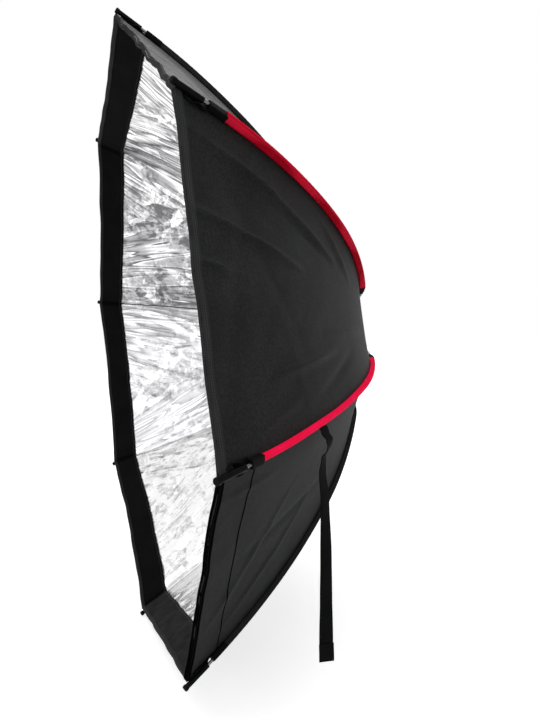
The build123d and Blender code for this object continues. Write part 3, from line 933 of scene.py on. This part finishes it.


def panelSheet(name, rib, side, panel, cells, span, layers, materials, thickness):
    # a closed sheet over part of a half panel: span is (hub end, front end) as shares of the length
    piece = clothGrid(name, *cells)
    for material in materials:
        piece.data.materials.append(material)
    x, y = gridShares(piece)
    flat = len(x)
    v = (x - 1) if side == "left" else (1 - x)
    u = span[0] + (span[1] - span[0]) * y
    thicken(piece, thickness, len(materials) - 1)
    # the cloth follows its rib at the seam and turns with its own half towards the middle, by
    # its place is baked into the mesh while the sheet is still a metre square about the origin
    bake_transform(piece)
    outer, inner = layers
    putPoints(piece, np.concatenate([panel.point(u, v, outer), panel.point(u, v, inner)]))
    # the grid's faces have to look outwards
    centre = np.array(piece.data.polygons[len(piece.data.polygons) // 4].normal)
    if centre @ ribAxes(panel.middle)[0] < 0:
        pickOnly(piece)
        bpy.ops.object.mode_set(mode="EDIT")
        bpy.ops.mesh.select_all(action="SELECT")
        bpy.ops.mesh.flip_normals()
        bpy.ops.object.mode_set(mode="OBJECT")
    r = np.interp(u, lineShare, lineRadius)
    across, along = v * r * sin(halfTurn), (1 - u) * lineLength
    layUv(piece, np.tile(across, 2), np.tile(along, 2))
    mood = foilMood.get(panel.rib, foilMood[0])
    # the foil's painted brightness and painted fold depth go on as attributes
    marks = dict(zip(("bright", "depth", "crumpled", "shift"), mood))
    marks["toSeam"] = (1 - np.abs(v)) * r * sin(halfTurn)
    marks["sewn"] = seamShow.get(rib, seamShow[0])
    for mark, values in marks.items():
        markPoints(piece, mark, np.tile(np.broadcast_to(values, len(v)), 2))
    for face in piece.data.polygons:
        face.use_smooth = True
    normals = np.concatenate([panel.normal(u, v, outer, 1), panel.normal(u, v, inner, -1)])
    corners = []
    for face in piece.data.polygons:
        rim = min(face.vertices) < flat <= max(face.vertices)
        corners += [tuple(face.normal) if rim else tuple(normals[i]) for i in face.vertices]
    piece.data.normals_split_custom_set(corners)
    return piece


hemSet = {
    "outWidth": {6: 0.0068, 7: 0.0105, 8: 0.0050}, "width": 0.0085, "backWidth": 0.012,
    "cells": (58, 4), "stand": 0.0013, "thick": 0.0007,
}
lipSet = {"cells": (58, 14), "front": 0.9985, "stand": 0.0042, "thick": 0.0008}
rowSet = {
    "panels": (1, 2, 3, 4, 5, 6), "back": 0.0630, "width": 0.0015,
    "cells": (58, 1), "stand": 0.0010, "thick": 0.0005,
}
outerCloths = {7: panelCloth, 8: slackCloth}
frontHems = {6: hemCloth, 7: greyHem, 8: slackHem}


def makeCanopy():
    for rib, side, panel in halves():
        cloth = panelSheet(
            f"canopyCloth_{rib}_{side}", rib, side, panel,
            (canopy["acrossCells"], canopy["alongCells"]), (0, 1), ("outer", "lining"),
            (outerCloths.get(panel.rib, lowCloth), silverCloth), canopy["cloth"],
        )
        lip = panelSheet(
            f"lipBand_{rib}_{side}", rib, side, panel, lipSet["cells"],
            (1 - canopy["lipWidth"] / lineLength, lipSet["front"]),
            (-lipSet["stand"], -lipSet["stand"] - lipSet["thick"]),
            # the bottom panel's lip takes the copy lightened as painted light
            (lowLip if panel.rib == 5 else lipCloth,), lipSet["thick"],
        )
        hem = panelSheet(
            f"frontHem_{rib}_{side}", rib, side, panel, hemSet["cells"],
            (1 - hemSet["outWidth"].get(panel.rib, hemSet["width"]) / lineLength, 1),
            (hemSet["stand"] + hemSet["thick"], -lipSet["stand"] - 2 * lipSet["thick"]),
            (frontHems.get(panel.rib, rimHem),), hemSet["thick"],
        )
        rearHem = panelSheet(
            f"rearHem_{rib}_{side}", rib, side, panel, hemSet["cells"],
            (0, hemSet["backWidth"] / lineLength),
            (hemSet["stand"], -hemSet["stand"]), (hemCloth,), hemSet["thick"],
        )
        if panel.rib in rowSet["panels"]:   # the lip is sewn to the cloth by a row of its own
            back, width = rowSet["back"], rowSet["width"]
            panelSheet(
                f"stitchRow_{rib}_{side}", rib, side, panel, rowSet["cells"],
                (1 - (back + width) / lineLength, 1 - back / lineLength),
                (rowSet["stand"], rowSet["stand"] - rowSet["thick"]),
                (rowThread,), rowSet["thick"],
            )
        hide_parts(f"canopy_{rib}_{side}")
        print("canopy", rib, side)


makeCanopy()
print("canopy sewn")


# the line that every rod, its sleeve and its tip follow, in a rib's own plane

def rodLine(steps=60):
    place, heading = np.array((layout["rodStart"], 0.0)), 0.0
    points, headings = [place.copy()], [0.0]
    for radius, angle in layout["rodBows"]:
        turn = radians(angle)
        centre = place + radius * np.array((-sin(heading), cos(heading)))
        for i in range(1, steps + 1):
            now = heading + turn * i / steps
            points.append(centre + radius * np.array((sin(now), -cos(now))))
            headings.append(now)
        heading += turn
        place = points[-1]
    points.append(place + layout["spareTip"] * np.array((cos(heading), sin(heading))))
    headings.append(heading)
    points, headings = np.array(points), np.array(headings)
    run = np.concatenate([[0], np.cumsum(np.linalg.norm(np.diff(points, axis=0), axis=1))])
    return run, points, headings


rodRun, rodPoints, rodHeadings = rodLine()
bowsEnd = rodRun[-2]            # where the straight tip starts, in the socket's mouth


def alongRod(run):
    return (
        np.interp(run, rodRun, rodPoints[:, 0]),
        np.interp(run, rodRun, rodPoints[:, 1]),
        np.interp(run, rodRun, rodHeadings),
    )


def ribPoints(rib, mid, side, deep):
    # points given by a radius, a place across the rib and a depth under its hinge
    out, across, forward = ribAxes(ribTurn(rib))
    deep = deep + layout["hingeDepth"]
    return np.outer(mid, out) + np.outer(side, across) + np.outer(deep, forward)


def sweptPiece(name, rib, cellsRound, cellsAlong, section, start, end):
    # a closed skin round a rod: section gives sideways and outward offsets for a turn and a run
    piece = clothGrid(name, cellsRound, cellsAlong)
    x, y = gridShares(piece)
    run = start + (end - start) * y
    side, up = section(2 * pi * x, run)
    radius, depth, heading = alongRod(run)
    # outward of the line, away from the cloth
    mid = radius + up * np.sin(heading)
    deep = depth - up * np.cos(heading)
    putPoints(piece, ribPoints(rib, mid, side, deep))
    girth = np.abs(side).max() * 2 + np.abs(up).max() * 2
    layUv(piece, x * girth, run)
    markPoints(piece, "toSide", np.abs(side) / np.abs(side).max())
    pickOnly(piece)
    bpy.ops.object.mode_set(mode="EDIT")
    bpy.ops.mesh.select_all(action="SELECT")
    bpy.ops.mesh.remove_doubles(threshold=1e-6)
    bpy.ops.mesh.select_all(action="DESELECT")
    bpy.ops.mesh.select_non_manifold(
        extend=False, use_wire=False, use_boundary=True,
        use_multi_face=False, use_non_contiguous=False, use_verts=False,
    )
    bpy.ops.mesh.fill_holes(sides=0)
    bpy.ops.mesh.select_all(action="SELECT")
    bpy.ops.mesh.normals_make_consistent(inside=False)
    bpy.ops.object.mode_set(mode="OBJECT")
    bpy.ops.object.shade_smooth_by_angle(angle=radians(50))
    return piece


def clothGap(run):
    # from the rod's line in to the cloth
    radius, depth, _ = alongRod(run)
    gainOut, gainForward = seamLift(lineShare)
    offOut = radius[:, None] - lineRadius - gainOut
    offForward = depth[:, None] - lineDepth - gainForward
    return np.hypot(offOut, offForward).min(axis=1)


sleeveSet = {
    "start": 0.1695, "cuff": {7: 0.029}, "plainCuff": 0.0215,
    "blockLength": {7: 0.023}, "plainBlock": 0.031, "bareRod": 0.010,
    "tuck": (0.001, 0.002),     # how far the tape runs in under its cuff and its block
    # half width and height over the rod's middle
    "tape": {7: (0.0032, 0.0032), 8: (0.0046, 0.0060)}, "plainTape": (0.0038, 0.0036),
    "pucker": (0.00022, 0.011), "drift": (0.0004, 0.17),    # height and wave length
    "bead": (0.0005, 0.62, 0.16),   # folded edge: size, place up the side and width
    "cuffOver": (1.06, 1.08),
    "blockWidth": 0.0062, "blockTop": 0.0036,
    "blockRound": (0.08, 0.0016), "blockGroove": (0.03, 0.009, 0.0012),
    # the lower rib's red tape in its painted-light tone, the upper rib's in its painted-shade tone
    "red": {7: litRed, 8: shadedRed},
}


def makeSleeves(p):
    first = p["start"] - layout["rodStart"]
    blockEnd = bowsEnd - p["bareRod"]
    for rib in range(1, 9):
        blockStart = blockEnd - p["blockLength"].get(rib, p["plainBlock"])
        red = first + p["cuff"].get(rib, p["plainCuff"])
        rng = np.random.default_rng(40 + rib)
        phases = rng.uniform(0, 2 * pi, 4)
        halfWidth, top = p["tape"].get(rib, p["plainTape"])

        def tape(turn, run):
            # folded tape over the rod, sewn flat to the cloth below, puckered by its stitches
            size, wave = p["pucker"]
            pucker = size * np.sin(run * 2 * pi / wave + phases[0]) * np.abs(np.cos(turn))
            size, wave = p["drift"]
            drift = size * np.sin(run * 2 * pi / wave + phases[1])
            side = halfWidth * np.sign(np.cos(turn)) * np.abs(np.cos(turn)) ** 0.45
            rise = np.sign(np.sin(turn)) * np.abs(np.sin(turn)) ** 0.5
            size, at, wide = p["bead"]
            edge = size * np.exp(-((rise - at) / wide) ** 2) * np.sign(side)
            up = np.where(rise > 0, rise * top, rise * clothGap(run))
            return side + edge + drift, up + pucker

        def cuff(turn, run):
            side, up = tape(turn, run)
            return side * p["cuffOver"][0], up * np.where(up > 0, p["cuffOver"][1], 1.0)

        def block(turn, run):
            side = p["blockWidth"] * np.sign(np.cos(turn)) * np.abs(np.cos(turn)) ** 0.35
            rise = np.sign(np.sin(turn)) * np.abs(np.sin(turn)) ** 0.35
            ends = np.minimum(run - blockStart, blockEnd - run)
            less, wide = p["blockRound"]
            eased = 1 - less * (1 - smooth(ends, 0, wide))
            less, at, wide = p["blockGroove"]
            groove = 1 - less * np.exp(-((run - blockStart - at) / wide) ** 2)
            up = np.where(rise > 0, rise * p["blockTop"] * eased * groove, rise * clothGap(run))
            return side * eased, up

        tapeStart, tapeEnd = red - p["tuck"][0], blockStart + p["tuck"][1]
        sleeve = sweptPiece(f"ribSleeve_{rib}", rib, 28, 240, tape, tapeStart, tapeEnd)
        bound = sweptPiece(f"sleeveCuff_{rib}", rib, 28, 16, cuff, first, red)
        end = sweptPiece(f"sleeveEnd_{rib}", rib, 40, 40, block, blockStart, blockEnd)
        sleeve.data.materials.append(p["red"].get(rib, darkWebbing))
        end.data.materials.append(endWrap)
        bound.data.materials.append(endWrap)
        for piece in (sleeve, bound, end):
            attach(piece, f"rib_{rib}")
        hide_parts(f"sleeve_{rib}")


makeSleeves(sleeveSet)
print("sleeves on")


# wrap strap: flat webbing that leaves the sleeve, turns once and hangs

strapSet = {
    "rib": 7, "radius": 0.481, "depth": 0.250, "drop": 0.0062, "width": 0.020, "thick": 0.0013,
    "length": 0.330, "lean": 4.0, "backward": (0.30, 0.95, 0.0), "cup": 0.0006,
    "patch": 0.025, "patchWidth": 0.0212, "patchStand": (0.0016, 0.0005),
    # share of the length, sideways towards the lamp, turn of the width in degrees
    "path": (
        (0.00, -0.0023, 50), (0.03, 0.0010, 52), (0.06, 0.0070, 56), (0.085, 0.0072, 66),
        (0.105, 0.0046, 72), (0.13, -0.0014, 66), (0.20, -0.0034, 56), (0.31, -0.0002, 48),
        (0.57, 0.0007, 31), (0.74, 0.0004, 24), (0.92, 0.0000, 6), (1.00, 0.0003, 3),
    ),
}


def makeStrap(p):
    turn, lean = ribTurn(p["rib"]), radians(p["lean"])
    root = np.array((
        p["radius"] * cos(turn),
        -layout["hingeDepth"] - p["depth"],
        p["radius"] * sin(turn) - p["drop"],
    ))
    share, offset, twist = np.array(p["path"]).T
    down = np.array((0, -sin(lean), -cos(lean)))
    back = np.array(p["backward"])
    back /= np.linalg.norm(back)
    facing = np.cross(back, down)

    def smoothPath(values, at):
        # eased between the given stations
        i = np.clip(np.searchsorted(share, at) - 1, 0, len(share) - 2)
        t = (at - share[i]) / (share[i + 1] - share[i])
        t = t * t * (3 - 2 * t)
        return values[i] * (1 - t) + values[i + 1] * t

    def layAlong(side, run, at, lift):
        # points of a band on the strap's path, side to side and lifted off it
        angle = np.radians(smoothPath(twist, at))
        wide = np.cos(angle)[:, None] * back + np.sin(angle)[:, None] * facing
        middle = root + np.outer(run, down) + np.outer(smoothPath(offset, at), back)
        return middle + wide * side[:, None] + np.outer(lift, facing)

    piece = clothGrid("wrapStrap", 10, 150)
    x, y = gridShares(piece)
    y = 1 - y                   # from the sleeve down
    side, run = (x - 0.5) * p["width"], y * p["length"]
    points = layAlong(side, run, y, p["cup"] * (2 * x - 1) ** 2)
    finishBand(piece, points, strapWebbing, p["thick"], side, run)

    # the end folded up on itself and sewn down
    patch = clothGrid("strapEnd", 8, 14)
    x, y = gridShares(patch)
    fall = 1 - y
    run = p["length"] - p["patch"] * (1 - fall)
    stand, puff = p["patchStand"]
    points = layAlong(
        (x - 0.5) * p["patchWidth"], run, run / p["length"], -(stand + puff * np.sin(pi * fall))
    )
    finishBand(patch, points, strapWebbing, p["thick"], (x - 0.5) * p["width"], fall * p["patch"])

    for part in (piece, patch):
        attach(part, "strap")
    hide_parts("strap")


makeStrap(strapSet)
print("strap hung")


# corner webbing: from each panel corner out to the socket's keel, and back towards the block

cornerSet = {
    "width": 0.0170, "narrowing": 0.35, "thick": 0.0011, "curl": 0.0036,
    "back": 0.010, "under": 0.0012, "clothRun": 0.02,
    # share of its length, run along the rib, depth of the keel under the rod
    "stations": (
        (0.0, 0.0, 0.0), (0.35, 0.013, 0.0), (0.62, 0.024, 0.0088), (0.85, 0.032, 0.0094),
        (1.0, 0.036, 0.0072),
    ),
}


def makeCorners(p):
    share, reach, keelDepth = np.array(p["stations"]).T
    for rib in range(1, 9):
        piece = clothGrid(f"cornerTab_{rib}", 12, 30)
        x, y = gridShares(piece)
        # from the block's underside, over the cloth's corner, to the keel near the socket's nose
        run = bowsEnd - p["back"] + np.interp(y, share, reach)
        onCloth = clothGap(np.minimum(run, bowsEnd + p["clothRun"])) - p["under"]
        keel = np.interp(y, share, keelDepth)
        inward = onCloth + (keel - onCloth) * smooth(y, 0.35, 0.62)
        # its sides turn up along the socket
        inward = inward - p["curl"] * np.abs(2 * x - 1) ** 3 * smooth(y, 0.12, 0.35)
        radius, depth, heading = alongRod(np.minimum(run, rodRun[-1]))
        mid, deep = radius - inward * np.sin(heading), depth + inward * np.cos(heading)
        side = (x - 0.5) * p["width"] * (1 - p["narrowing"] * smooth(y, 0.6, 1.0))
        finishBand(piece, ribPoints(rib, mid, side, deep), endWrap, p["thick"], side, run)
        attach(piece, f"rib_{rib}")


makeCorners(cornerSet)
print("corners sewn")
